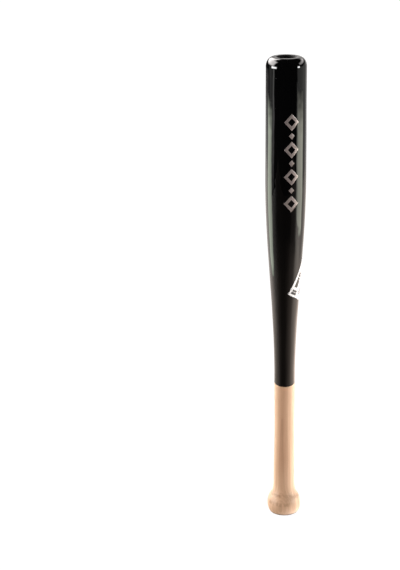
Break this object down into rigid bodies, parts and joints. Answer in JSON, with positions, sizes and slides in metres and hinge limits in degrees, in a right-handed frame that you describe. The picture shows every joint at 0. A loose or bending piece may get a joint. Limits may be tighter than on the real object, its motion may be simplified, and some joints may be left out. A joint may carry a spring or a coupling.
{
  "type": "baseball bat",
  "caption": "Short turned wooden baseball bat with a round knob, a clear-varnished handle, a black lacquered barrel with a cupped end, a column of foil diamonds and a paper price label.",
  "frame": {"origin": "centre of the knob's flat base, which is the face the bat stands on", "axes": "+Z along the bat's axis, from the knob to the barrel's end; -Y towards the front, whose right half holds the foil diamonds; +X to the right, the side of the price label"},
  "size_m": [0.051, 0.0515, 0.61],
  "materials": {
    "pale_wood": "sanded, bare at the knob's base",
    "black_lacquer": "high gloss lacquer",
    "clear_varnish": "clear gloss varnish",
    "grey_foil": "satin pigment foil",
    "label_paper": "coated white paper"
  },
  "bodies": {
    "root": {"wood_billet": "pale_wood", "barrel_lacquer": "black_lacquer", "handle_varnish": "clear_varnish", "print_diamond_1": "grey_foil", "print_diamond_2": "grey_foil", "print_diamond_3": "grey_foil", "print_diamond_4": "grey_foil", "print_spacer_1": "grey_foil", "print_spacer_2": "grey_foil", "print_spacer_3": "grey_foil", "price_label": "label_paper"}
  },
  "joints": []
}
